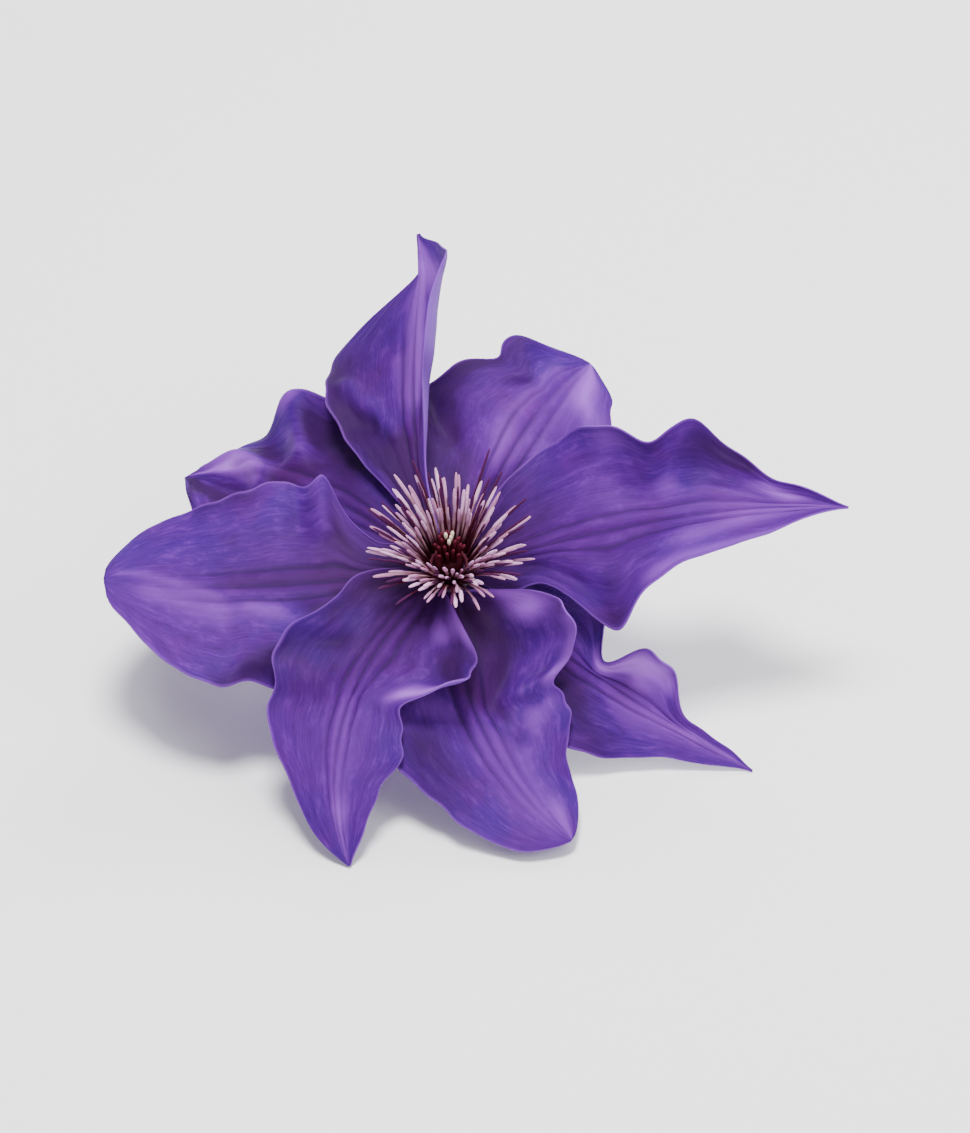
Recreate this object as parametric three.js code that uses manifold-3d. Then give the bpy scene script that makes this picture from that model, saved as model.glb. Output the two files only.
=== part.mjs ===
// One clematis flower, picked and laid down on a flat surface.
// Millimetres, +Z up. The face of the bloom looks up and leans towards -Y, two of its
// lower tepals touch the surface with their tips, and the cut stalk lies behind it along +Y.
// The bloom is drawn about its own axis, Z, with the face up and its upper side towards +Y.

import * as THREE from "three";
import { mergeVertices } from "three/addons/utils/BufferGeometryUtils.js";
import Module from "manifold-3d";

const wasm = await Module();
wasm.setup();

const degrees = Math.PI / 180;

// The bloom's place: its heart is the point where the bases of the tepals meet
const bloomLean = 20;
const heart = new THREE.Vector3(-5.9, -27.5, 30.5);

// The tepals' common sizes
const tepalThickness = 0.66;
const tepalRows = 18;
const tepalColumns = [-1, -0.8, -0.6, -0.4, -0.25, -0.15, -0.07, 0, 0.07, 0.15, 0.25, 0.4, 0.6, 0.8, 1];
const baseRadius = 4.5;
const clawHalfWidth = 1.9;
const tipHalfWidth = 0.35;
const grooveDepth = 0.45;
const grooveSpacing = 0.15;
const grooveWidth = 0.05;
const narrowHalf = 3;
const seatGap = 0.3;

// The receptacle, which carries everything, and the stalk
const coreRadius = baseRadius - seatGap;
const coreTop = 3.7;
const stalkRadius = 1.35;
const stalkSides = 10;
const stalkRest = stalkRadius + 0.03;
const stalkNeck = 6;
const stalkLength = { onSurface: 82, drift: 15 };
const cut = { angle: 35, back: 2, size: 12 };

// The boss of stamens, in a spiral from the inner ones to the outer ones
const spiralAngle = 137.5;
const stamenCount = 104;
const stamenLength = { inner: 11, outer: 19, variation: 2.4 };
const stamenLean = { inner: 20, outer: 56, variation: 7 };
const stamenRing = { inner: 3.6, outer: 5.3, height: 2.2 };
const filament = { width: 0.85, thickness: 0.55 };
const anther = { width: 1.2, thickness: 0.75, start: 0.67 };
const longStamen = { every: 4, stretch: 1.2 };

// The pistils in its middle
const styleCount = 22;
const styleRadius = 0.5;
const styleHeight = { middle: 14.5, outer: 9.5, variation: 1.2 };
const styleFlare = 1.3;
const pistilCore = { radius: 3.2, height: 5.5 };

// Each tepal, from the lowest in the overlap to the highest. Angles are in degrees.
// aim is the way it points, counted from +X; seat is the height of its base on the receptacle.
// rise, sweep and twist turn the midrib up, sideways and about itself, from base to tip.
// widest and point set the outline, and bulges (place, breadth, size in mm) change it. Each half
// is bent up by cup, from base to tip, and its margin by wave (size, count, start) and by lobes
// (place, breadth, size). folds are ridges and hollows that run from one place (along, across)
// of the blade to another, with a width and a height in mm.
const tepals = [
  {
    name: "tepal_lower_right",
    aim: -37, length: 75, halfWidth: 17.5, widest: 0.42, point: 1.5, seat: 0,
    rise: [0, -34, -7.7], sweep: [0, 12, 10], twist: [0, 10, 15],
    clockwise: {
      cup: [-5, -5, 15], wave: [8, 2, 0.4],
      bulges: [[0.74, 0.1, -2]],
    },
    counter: {
      cup: [-5, 5, 20], wave: [8, 1.5, 0.2],
      lobes: [[0.6, 0.1, 90]],
      bulges: [[0.46, 0.07, -14], [0.58, 0.05, -2], [0.74, 0.08, -6.5], [0.85, 0.06, -2]],
    },
    folds: [[0.5, -0.12, 0.8, -0.1, 2.5, 1]],
  },
  {
    name: "tepal_upper_right",
    aim: 68, length: 70, halfWidth: 22, widest: 0.55, point: 0.85, seat: 0,
    rise: [5, -15, -27], sweep: [0, 3, -17], twist: [0, 8, 11],
    clockwise: {
      cup: [-8, -9, -7], wave: [20, 2, 0.15],
      bulges: [[0.95, 0.05, 3]],
    },
    counter: {
      cup: [-8, 2, 2], wave: [25, 2, 0.6],
      bulges: [[0.58, 0.09, 3.5], [0.75, 0.04, -3.5], [0.86, 0.05, 2.2]],
    },
    folds: [
      [0.6, 0.95, 0.44, 0.7, 4.5, -3.5], [0.33, 0.1, 0.86, 0.2, 2.5, 1.2],
      [0.88, 0.85, 0.73, 0.5, 3, 2], [0.85, -0.6, 0.6, -0.4, 4, -1.5],
    ],
  },
  {
    name: "tepal_upper_left",
    aim: 139, length: 72, halfWidth: 24, widest: 0.56, point: 1.1, seat: 0,
    rise: [5, -21, -37], sweep: [0, 1, 28], twist: [0, -14, 17],
    clockwise: {
      cup: [-7, 15, -6], wave: [35, 3, 0.15],
      bulges: [[0.7, 0.08, 1], [0.79, 0.04, -2], [0.91, 0.05, -4.5]],
    },
    counter: {
      cup: [-8, 0, 17], wave: [20, 2.5, 0.5],
    },
    folds: [
      [0.92, -0.6, 0.7, -0.05, 3, 3], [0.85, 0.15, 0.76, 0.15, 4, -2.5],
      [0.93, 0.9, 0.84, 0.65, 3, 1.5], [0.74, -1, 0.6, -0.35, 2.6, 2.6],
      [0.82, -1, 0.69, -0.25, 3, -2.5], [0.6, -0.75, 0.48, -0.55, 6, -4],
    ],
  },
  {
    name: "tepal_bottom",
    aim: -89, length: 66, halfWidth: 22, widest: 0.42, point: 0.75, seat: 1.1,
    rise: [7, -35, 10], sweep: [0, 24, 47], twist: [0, 0, -5],
    clockwise: {
      cup: [-2, 25, 0], wave: [8, 1.5, 0.4],
      bulges: [[0.66, 0.07, -1.3], [0.92, 0.06, 1.5]],
    },
    counter: {
      cup: [12, -5, -24], wave: [8, 2, 0.1],
      lobes: [[0.23, 0.14, 78], [0.05, 0.06, 20]],
      bulges: [
        [0.11, 0.1, 7], [0.2, 0.06, 4], [0.28, 0.07, 6], [0.44, 0.05, -4], [0.53, 0.05, -1.5],
        [0.72, 0.12, -3],
      ],
    },
    folds: [
      [0.22, 0.5, 0.43, 0.25, 4, -3], [0.43, 0.6, 0.41, 0.9, 2, 1.5], [0.08, 0.9, 0.18, 1, 4, 1.2],
    ],
  },
  {
    name: "tepal_bottom_left",
    aim: -130, length: 72.5, halfWidth: 19.5, widest: 0.41, point: 1.1, seat: 3,
    rise: [12, -11.5, -25.4], sweep: [0, 9, 65], twist: [0, -12, 15],
    clockwise: {
      cup: [16, 28, 10], wave: [8, 1.5, 0.4],
      bulges: [[0.26, 0.09, -4], [0.52, 0.05, -2], [0.74, 0.13, -3]],
    },
    counter: {
      cup: [-4, -18, 30], wave: [8, 2, 0.1],
      lobes: [[0.33, 0.13, 95]],
      bulges: [
        [0.14, 0.08, 5], [0.29, 0.07, 6], [0.46, 0.07, -8], [0.57, 0.07, -3.8], [0.74, 0.06, -1.6],
        [0.93, 0.05, 1],
      ],
    },
    folds: [
      [0.4, -0.9, 0.34, -0.5, 3.5, -2], [0.49, -0.9, 0.46, -0.4, 3, 1.6],
      [0.12, 0.45, 0.36, 0.38, 2.2, 0.9], [0.5, -0.05, 0.85, 0.1, 3, 0.8],
    ],
  },
  {
    name: "tepal_right",
    aim: 13, length: 85, halfWidth: 23.5, widest: 0.4, point: 1.35, seat: 2,
    rise: [14, 14, 6], sweep: [0, -7, -20], twist: [0, 12, -2],
    clockwise: {
      cup: [0, 27, 70], wave: [12, 1.6, 0.5],
      bulges: [[0.19, 0.1, -9.5], [0.37, 0.05, 5], [0.57, 0.15, -6.5], [0.72, 0.06, -1.2]],
    },
    counter: {
      cup: [12, 50, 65], wave: [35, 2.2, 0.2],
      bulges: [[0.52, 0.05, -3], [0.63, 0.04, 2.5], [0.8, 0.07, -3]],
    },
    folds: [
      [0.52, 0.95, 0.46, 0.4, 4.5, -1.6], [0.6, 0.95, 0.54, 0.4, 3.5, 1],
      [0.7, 0.95, 0.64, 0.55, 4.5, -1.4], [0.17, -0.45, 0.31, -0.7, 5, -2.5],
    ],
  },
  {
    name: "tepal_top",
    aim: 112, length: 82, halfWidth: 21.5, widest: 0.57, point: 1.7, seat: 2,
    rise: [15, -4, 0], sweep: [0, -36, -18], twist: [0, -47, -25],
    clockwise: {
      cup: [37, 179, 19], wave: [8, 1.5, 0.1],
      bulges: [
        [0.3, 0.15, -7], [0.49, 0.12, -8.5], [0.66, 0.1, -4.5], [0.86, 0.06, 4.5],
        [0.94, 0.04, 2.5],
      ],
    },
    counter: {
      cup: [14, 45, -44], wave: [18, 2, 0.3],
      bulges: [[0.7, 0.09, 4.2], [0.88, 0.07, -7.5]],
    },
    folds: [
      [0.88, -0.1, 0.39, 0.05, 2, 1], [0.42, 0.95, 0.42, 0.6, 4, -2],
      [0.55, 0.75, 0.38, 0.3, 2.5, 1.5],
    ],
  },
  {
    name: "tepal_left",
    aim: 190, length: 71.5, halfWidth: 26, widest: 0.47, point: 0.5, seat: 2.1,
    rise: [14, -13, 14], sweep: [0, -6, -12], twist: [0, -2, 16],
    clockwise: {
      cup: [14, -5, -26], wave: [8, 1.6, 0.2],
      bulges: [
        [0.15, 0.13, -12], [0.285, 0.04, 5], [0.43, 0.08, 2], [0.76, 0.06, 1.2], [0.87, 0.08, 3],
      ],
    },
    counter: {
      cup: [-6, -13, -3], wave: [8, 1.5, 0.55],
      lobes: [[0.42, 0.14, -30]],
      bulges: [
        [0.14, 0.14, -9], [0.55, 0.06, -2.8], [0.65, 0.06, 0.5], [0.85, 0.04, -1],
        [0.93, 0.05, -2.5],
      ],
    },
    folds: [
      [0.31, -1, 0.31, -0.5, 2.5, 1.8], [0.38, -0.95, 0.39, -0.5, 3, -1.8],
      [0.33, 0.25, 0.62, 0.95, 3, 1.1],
    ],
  },
];

const tepalFinish = new THREE.MeshStandardMaterial({ color: 0x6644b0, roughness: 0.6, metalness: 0 });
const stamenFinish = new THREE.MeshStandardMaterial({ color: 0xc9a9c4, roughness: 0.65, metalness: 0 });
const pistilFinish = new THREE.MeshStandardMaterial({ color: 0x5a1a3c, roughness: 0.6, metalness: 0 });
const stalkFinish = new THREE.MeshStandardMaterial({ color: 0x6d7a3c, roughness: 0.6, metalness: 0 });

// A value that runs smoothly from the first number to the last, drawn towards the middle one
function along([first, middle, last], s) {
  return first * (1 - s) ** 2 + 2 * middle * s * (1 - s) + last * s ** 2;
}

// Random numbers from 0 to 1 that come out the same each time
function seededRandom(seed) {
  let state = seed;
  return () => {
    state = (state * 1664525 + 1013904223) % 4294967296;
    return state / 4294967296;
  };
}

// A sum of smooth hills, each a place along the blade, a breadth and a height
function hillsAt(hills, s) {
  return hills.reduce((sum, [place, breadth, height]) => (
    sum + height * Math.exp(-(((s - place) / breadth) ** 2))
  ), 0);
}

function halfWidthAt(tepal, half, s) {
  const k = (tepal.point * tepal.widest) / (1 - tepal.widest);
  const peak = tepal.widest ** k * (1 - tepal.widest) ** tepal.point;
  const blade = (tepal.halfWidth * s ** k * (1 - s) ** tepal.point) / peak;
  const outline = Math.max(blade + hillsAt(half.bulges ?? [], s), 0);
  return outline + clawHalfWidth * (1 - s) ** 3 + tipHalfWidth * s;
}

// How far a half is broad enough for its grooves and for a skin that follows every fold, from
// 0 to 1. Where it is narrow, at the tip and the claw, such skins would pass through each other.
function breadthShare(tepal, s, t) {
  const width = halfWidthAt(tepal, t < 0 ? tepal.clockwise : tepal.counter, s);
  return 1 - Math.exp(-((width / narrowHalf) ** 2));
}

// How far one margin is turned up at s, beside the cup
function marginTurn({ wave: [size, count, start], lobes = [] }, s) {
  const wave = size * Math.sin(Math.PI * s) ** 0.7 * Math.sin(2 * Math.PI * (count * s + start));
  return (wave + hillsAt(lobes, s)) * degrees;
}

// How far the folds lift the blade at (s, t)
function foldLift({ length, halfWidth, folds = [] }, s, t) {
  const here = new THREE.Vector3(s * length, t * halfWidth, 0);
  return folds.reduce((sum, [fromS, fromT, toS, toT, width, height]) => {
    const from = new THREE.Vector3(fromS * length, fromT * halfWidth, 0);
    const to = new THREE.Vector3(toS * length, toT * halfWidth, 0);
    const nearest = new THREE.Line3(from, to).closestPointToPoint(here, true, new THREE.Vector3());
    return sum + height * Math.exp(-((here.distanceTo(nearest) / width) ** 2));
  }, 0);
}

// The midrib of a tepal: a point at each row, with the blade's sideways and upward directions
function midribFrames(tepal, rows) {
  const steps = 12;
  const out = new THREE.Vector3(Math.cos(tepal.aim * degrees), Math.sin(tepal.aim * degrees), 0);
  const across = new THREE.Vector3(-out.y, out.x, 0);
  const up = new THREE.Vector3(0, 0, 1);
  const directions = (s) => {
    const rise = along(tepal.rise, s) * degrees;
    const sweep = along(tepal.sweep, s) * degrees;
    const level = out.clone().multiplyScalar(Math.cos(sweep)).addScaledVector(across, Math.sin(sweep));
    const tangent = level.clone().multiplyScalar(Math.cos(rise)).addScaledVector(up, Math.sin(rise));
    const side = out.clone().multiplyScalar(-Math.sin(sweep)).addScaledVector(across, Math.cos(sweep));
    return { tangent, side, normal: new THREE.Vector3().crossVectors(tangent, side) };
  };
  const frames = [];
  const point = out.clone().multiplyScalar(baseRadius).addScaledVector(up, tepal.seat);
  for (let row = 0; row <= rows; row += 1) {
    const s = row / rows;
    const { side, normal } = directions(s);
    const twist = along(tepal.twist, s) * degrees;
    frames.push({
      s,
      point: point.clone(),
      side: side.clone().multiplyScalar(Math.cos(twist)).addScaledVector(normal, Math.sin(twist)),
      normal: normal.clone().multiplyScalar(Math.cos(twist)).addScaledVector(side, -Math.sin(twist)),
    });
    for (let step = 0; step < steps; step += 1) {
      const middle = s + (step + 0.5) / (steps * rows);
      point.addScaledVector(directions(middle).tangent, tepal.length / (steps * rows));
    }
  }
  return frames;
}

// A point of the blade's middle surface, t from -1 at the clockwise margin to 1 at the other
function bladePoint(tepal, frame, t) {
  const steps = 14;
  const half = t < 0 ? tepal.clockwise : tepal.counter;
  const cup = along(half.cup, frame.s) * degrees;
  const turn = marginTurn(half, frame.s);
  const width = halfWidthAt(tepal, half, frame.s);
  let x = 0;
  let z = 0;
  for (let step = 0; step < steps; step += 1) {
    const u = (Math.abs(t) * (step + 0.5)) / steps;
    const slope = cup * u + turn * u ** 2.2;
    x += (Math.cos(slope) * Math.abs(t)) / steps;
    z += (Math.sin(slope) * Math.abs(t)) / steps;
  }
  const fade = Math.sin(Math.PI * frame.s) ** 0.5;
  let groove = 0;
  for (const place of [-1, 0, 1]) {
    groove += Math.exp(-(((t - place * grooveSpacing) / grooveWidth) ** 2));
  }
  groove *= grooveDepth * breadthShare(tepal, frame.s, t);
  const lift = z * width + (foldLift(tepal, frame.s, t) - groove) * fade;
  return frame.point.clone()
    .addScaledVector(frame.side, x * Math.sign(t) * width)
    .addScaledVector(frame.normal, lift);
}

// A closed blade: the middle surface moved half the thickness up and down, both split into
// triangles alike, and joined round the rim
function bladeGeometry(tepal) {
  const frames = midribFrames(tepal, tepalRows);
  const across = tepalColumns.length;
  const middle = frames.flatMap((frame) => tepalColumns.map((t) => bladePoint(tepal, frame, t)));
  const faces = [];
  for (let row = 0; row < tepalRows; row += 1) {
    for (let column = 0; column < across - 1; column += 1) {
      const corner = row * across + column;
      const ahead = corner + across;
      faces.push([corner, ahead, ahead + 1], [corner, ahead + 1, corner + 1]);
    }
  }
  const surface = new THREE.BufferGeometry().setFromPoints(middle);
  surface.setIndex(faces.flat());
  surface.computeVertexNormals();
  const normals = surface.getAttribute("normal");
  const skin = (offset) => middle.map((point, index) => {
    const frame = frames[Math.floor(index / across)];
    const own = new THREE.Vector3().fromBufferAttribute(normals, index);
    const share = breadthShare(tepal, frame.s, tepalColumns[index % across]);
    const normal = frame.normal.clone().lerp(own, share).normalize();
    return point.clone().addScaledVector(normal, offset);
  });
  const upper = skin(tepalThickness / 2);
  const lower = skin(-tepalThickness / 2);

  const rim = [];
  for (let column = 0; column < across; column += 1) rim.push(column);
  for (let row = 1; row <= tepalRows; row += 1) rim.push(row * across + across - 1);
  for (let column = across - 2; column >= 0; column -= 1) rim.push(tepalRows * across + column);
  for (let row = tepalRows - 1; row >= 1; row -= 1) rim.push(row * across);
  const count = middle.length;
  const index = [];
  for (const [a, b, c] of faces) {
    index.push(a, b, c, a + count, c + count, b + count);
  }
  for (let i = 0; i < rim.length; i += 1) {
    const a = rim[i];
    const b = rim[(i + 1) % rim.length];
    index.push(a, b, b + count, a, b + count, a + count);
  }
  const geometry = new THREE.BufferGeometry().setFromPoints([...upper, ...lower]);
  geometry.setIndex(index);
  return geometry;
}

// A closed tube of given sections, each a centre, two directions and half sizes along them
function sectionGeometry(sections, sides) {
  const points = [];
  const index = [];
  for (const { centre, wide, deep, halfWide, halfDeep } of sections) {
    for (let side = 0; side < sides; side += 1) {
      const angle = (2 * Math.PI * side) / sides;
      points.push(centre.clone()
        .addScaledVector(wide, halfWide * Math.cos(angle))
        .addScaledVector(deep, halfDeep * Math.sin(angle)));
    }
  }
  for (let ring = 0; ring < sections.length - 1; ring += 1) {
    for (let side = 0; side < sides; side += 1) {
      const a = ring * sides + side;
      const b = ring * sides + ((side + 1) % sides);
      index.push(a, b, b + sides, a, b + sides, a + sides);
    }
  }
  const last = (sections.length - 1) * sides;
  for (let side = 1; side < sides - 1; side += 1) {
    index.push(0, side + 1, side, last, last + side, last + side + 1);
  }
  const geometry = new THREE.BufferGeometry().setFromPoints(points);
  geometry.setIndex(index);
  return geometry;
}

function solid(geometry) {
  const bare = geometry.clone();
  bare.deleteAttribute("normal");
  bare.deleteAttribute("uv");
  const merged = mergeVertices(bare, 1e-4);
  return new wasm.Manifold(new wasm.Mesh({
    numProp: 3,
    vertProperties: new Float32Array(merged.getAttribute("position").array),
    triVerts: new Uint32Array(merged.getIndex().array),
  }));
}

function fromSolid(body) {
  const { numProp, vertProperties, triVerts } = body.getMesh();
  const positions = new Float32Array((vertProperties.length / numProp) * 3);
  for (let vertex = 0; vertex < positions.length / 3; vertex += 1) {
    for (let axis = 0; axis < 3; axis += 1) {
      positions[vertex * 3 + axis] = vertProperties[vertex * numProp + axis];
    }
  }
  const geometry = new THREE.BufferGeometry();
  geometry.setAttribute("position", new THREE.BufferAttribute(positions, 3));
  geometry.setIndex(new THREE.BufferAttribute(new Uint32Array(triVerts), 1));
  return geometry;
}

function fused(geometries) {
  return geometries.map(solid).reduce((whole, piece) => whole.add(piece));
}

// A size that grows from the inner ones to the outer ones and varies from one to the next
function varied({ inner, outer, variation }, spread, draw) {
  return inner + (outer - inner) * spread + (draw - 0.5) * variation;
}

// A lathed piece about the bloom's axis, from [radius, height] pairs that start and end on it
// or come back to the first
function turned(profile, segments) {
  const outline = profile.map(([radius, height]) => new THREE.Vector2(radius, height));
  const geometry = new THREE.LatheGeometry(outline, segments);
  return geometry.rotateX(Math.PI / 2);
}

// Stamens in a spiral: the inner ones nearly upright, the outer ones arching outwards, each a
// flat filament that ends in a broader anther, with their roots sunk in a ring
function stamensGeometry() {
  const random = seededRandom(7);
  const bottom = coreTop + seatGap;
  const { inner, outer, height } = stamenRing;
  const ring = turned([
    [inner, bottom], [outer, bottom], [outer, bottom + height * 0.5],
    [inner + 0.7, bottom + height], [inner, bottom + height], [inner, bottom],
  ], 24);
  const stamens = [];
  for (let i = 0; i < stamenCount; i += 1) {
    const spread = i / (stamenCount - 1);
    const azimuth = i * spiralAngle * degrees + (random() - 0.5) * 0.12;
    const out = new THREE.Vector3(Math.cos(azimuth), Math.sin(azimuth), 0);
    const side = new THREE.Vector3(out.y, -out.x, 0);
    const lean = varied(stamenLean, spread, random()) * degrees;
    const usual = varied(stamenLength, spread, random());
    const length = i % longStamen.every === 0 ? usual * longStamen.stretch : usual;
    const rootRadius = inner + 0.5 + (outer - inner - 1) * spread;
    const centre = out.clone().multiplyScalar(rootRadius).setZ(bottom + height * (0.75 - 0.4 * spread));
    const places = [0, 0.4, anther.start, anther.start + 0.05, 1];
    const sections = places.map((place, step) => {
      const before = step === 0 ? 0 : places[step - 1];
      const slope = lean * (0.7 + 0.45 * (before + place) / 2);
      if (step > 0) {
        centre.addScaledVector(out, Math.sin(slope) * length * (place - before));
        centre.z += Math.cos(slope) * length * (place - before);
      }
      const deep = out.clone().multiplyScalar(Math.cos(slope)).setZ(-Math.sin(slope));
      const inAnther = place > anther.start;
      const narrowing = place === 1 ? 0.6 : 1;
      return {
        centre: centre.clone(),
        wide: side,
        deep,
        halfWide: ((inAnther ? anther.width : filament.width) / 2) * narrowing,
        halfDeep: ((inAnther ? anther.thickness : filament.thickness) / 2) * narrowing,
      };
    });
    stamens.push(sectionGeometry(sections, 4));
  }
  return fromSolid(fused([ring, ...stamens]));
}

// The pistils: a low cone that carries a tuft of slender styles, spreading at their tips
function pistilsGeometry() {
  const random = seededRandom(3);
  const bottom = coreTop + seatGap;
  const { radius, height } = pistilCore;
  const core = turned([
    [0, bottom], [radius, bottom], [radius, bottom + height * 0.45],
    [radius * 0.85, bottom + height], [0, bottom + height],
  ], 12);
  const styles = [];
  for (let i = 0; i < styleCount; i += 1) {
    const spread = Math.sqrt((i + 0.5) / styleCount);
    const azimuth = i * spiralAngle * degrees;
    const out = new THREE.Vector3(Math.cos(azimuth), Math.sin(azimuth), 0);
    const side = new THREE.Vector3(-out.y, out.x, 0);
    const rootRadius = (radius * 0.85 - styleRadius) * spread;
    const root = bottom + height * 0.5;
    const { middle, outer, variation } = styleHeight;
    const tip = bottom + middle + (outer - middle) * spread ** 2 + (random() - 0.5) * variation;
    const flare = styleFlare * spread;
    const sections = [[0, 0], [0.55, 0.15], [0.85, 0.6], [1, 1]].map(([place, bend]) => ({
      centre: out.clone().multiplyScalar(rootRadius + flare * bend).setZ(root + (tip - root) * place),
      wide: out,
      deep: side,
      halfWide: styleRadius * (1 - 0.35 * place),
      halfDeep: styleRadius * (1 - 0.35 * place),
    }));
    styles.push(sectionGeometry(sections, 4));
  }
  return fromSolid(fused([core, ...styles]));
}

// The stalk: down from the receptacle along the bloom's axis, round onto the surface and along
// it to a slanting cut. It is drawn in the frame of the whole flower.
function stalkPath() {
  const lean = bloomLean * degrees;
  const start = new THREE.Vector3(0, Math.sin(lean), -Math.cos(lean)).multiplyScalar(stalkNeck).add(heart);
  const downward = Math.PI / 2 - lean;
  const bendRadius = (start.z - stalkRest) / (1 - Math.cos(downward));
  const points = [];
  const arcSteps = 10;
  const straightSteps = 5;
  for (let step = 0; step <= arcSteps; step += 1) {
    const angle = downward * (1 - step / arcSteps);
    points.push(new THREE.Vector3(
      start.x,
      start.y + bendRadius * (Math.sin(downward) - Math.sin(angle)),
      stalkRest + bendRadius * (1 - Math.cos(angle)),
    ));
  }
  const landing = points[points.length - 1];
  for (let step = 1; step <= straightSteps; step += 1) {
    const share = step / straightSteps;
    points.push(new THREE.Vector3(
      landing.x - stalkLength.drift * share ** 2,
      landing.y + stalkLength.onSurface * share,
      stalkRest,
    ));
  }
  return new THREE.CatmullRomCurve3(points, false, "centripetal");
}

function peduncleGeometry() {
  const path = stalkPath();
  const section = new THREE.Shape();
  for (let side = 0; side < stalkSides; side += 1) {
    const angle = (2 * Math.PI * (side + 0.5)) / stalkSides;
    const x = stalkRadius * Math.cos(angle);
    const y = stalkRadius * Math.sin(angle);
    if (side === 0) section.moveTo(x, y);
    else section.lineTo(x, y);
  }
  section.closePath();
  const stalk = new THREE.ExtrudeGeometry(section, { steps: 34, bevelEnabled: false, extrudePath: path });

  const receptacle = turned([
    [0, -8.5], [stalkRadius * 0.95, -8.5], [stalkRadius * 1.15, -5.5], [3, -2.6], [5.4, -1.6],
    [5.4, -0.8], [coreRadius, -0.6], [coreRadius, coreTop - 0.5], [coreRadius - 0.5, coreTop], [0, coreTop],
  ], 20);
  receptacle.rotateX(bloomLean * degrees).translate(heart.x, heart.y, heart.z);

  const end = path.getPoint(1);
  const cutter = new THREE.BoxGeometry(cut.size, cut.size, cut.size).translate(0, cut.size / 2, 0);
  cutter.rotateZ(cut.angle * degrees).translate(end.x, end.y - cut.back, end.z);
  return fromSolid(solid(stalk).add(solid(receptacle)).subtract(solid(cutter)));
}

function piece(name, geometry, finish) {
  const mesh = new THREE.Mesh(geometry, finish);
  mesh.name = name;
  return mesh;
}

const bloom = new THREE.Group();
for (const tepal of tepals) {
  bloom.add(piece(tepal.name, bladeGeometry(tepal), tepalFinish));
}
bloom.add(piece("stamens", stamensGeometry(), stamenFinish));
bloom.add(piece("pistils", pistilsGeometry(), pistilFinish));
bloom.rotation.x = bloomLean * degrees;
bloom.position.copy(heart);

const flower = new THREE.Group();
flower.add(bloom);
flower.add(piece("peduncle", peduncleGeometry(), stalkFinish));

export default flower;
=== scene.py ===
import math

import bpy
import numpy as np
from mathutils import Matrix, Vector, noise


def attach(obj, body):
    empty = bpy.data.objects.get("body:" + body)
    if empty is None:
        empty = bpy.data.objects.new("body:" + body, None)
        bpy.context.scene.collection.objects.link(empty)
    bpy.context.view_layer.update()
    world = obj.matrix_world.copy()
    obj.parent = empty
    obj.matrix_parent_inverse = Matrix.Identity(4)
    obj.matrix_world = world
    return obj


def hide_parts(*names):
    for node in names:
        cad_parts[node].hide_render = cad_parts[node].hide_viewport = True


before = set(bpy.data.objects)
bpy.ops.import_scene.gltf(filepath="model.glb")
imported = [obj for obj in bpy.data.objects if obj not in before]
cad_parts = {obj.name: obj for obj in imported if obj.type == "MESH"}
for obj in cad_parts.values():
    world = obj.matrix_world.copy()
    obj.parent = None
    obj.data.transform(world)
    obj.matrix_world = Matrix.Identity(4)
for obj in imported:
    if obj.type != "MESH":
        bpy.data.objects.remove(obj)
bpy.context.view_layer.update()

# A picked clematis flower, lying face up on its lower tepal tips and its stalk.
# Lengths in the dictionaries are millimetres and angles are degrees, and everything built is
# in metres and radians.

mm = 0.001

bloom = {
    "heart": (-5.9, -27.5, 30.5),    # where the bases of the tepals meet
    "lean": 20,                      # from upright, towards -Y
    "spiralAngle": 137.5,            # from one stamen or style to the next
}


def deselectAll():
    bpy.ops.object.select_all(action="DESELECT")


def makeActive(obj):
    deselectAll()
    obj.select_set(True)
    bpy.context.view_layer.objects.active = obj


def applyModifiers(obj):
    makeActive(obj)
    for modifier in list(obj.modifiers):
        bpy.ops.object.modifier_apply(modifier=modifier.name)


def readPoints(obj):
    points = np.empty(len(obj.data.vertices) * 3)
    obj.data.vertices.foreach_get("co", points)
    return points.reshape(-1, 3)


def writePoints(obj, points):
    obj.data.vertices.foreach_set("co", np.asarray(points, dtype=float).ravel())
    obj.data.update()


def addNumbers(obj, name, values):
    layer = obj.data.attributes.new(name, "FLOAT", "POINT")
    layer.data.foreach_set("value", np.asarray(values, dtype=float).ravel())


def fromBloom(points):
    # from the bloom's own axes, in millimetres, to the scene, in metres
    lean = math.radians(bloom["lean"])
    x, y, z = np.moveaxis(np.asarray(points, dtype=float), -1, 0)
    leaningY = y * math.cos(lean) - z * math.sin(lean)
    leaningZ = y * math.sin(lean) + z * math.cos(lean)
    return (np.stack([x, leaningY, leaningZ], -1) + np.array(bloom["heart"])) * mm


def along(values, s):
    # runs smoothly from the first number to the last, drawn towards the middle one
    first, middle, last = values
    return first * (1 - s) ** 2 + 2 * middle * s * (1 - s) + last * s ** 2


def seededRandom(seed):
    # the same draws each time, so that each stamen stands where its solid does
    state = seed
    while True:
        state = (state * 1664525 + 1013904223) % 4294967296
        yield state / 4294967296


# Shader maths as Python expressions

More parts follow.
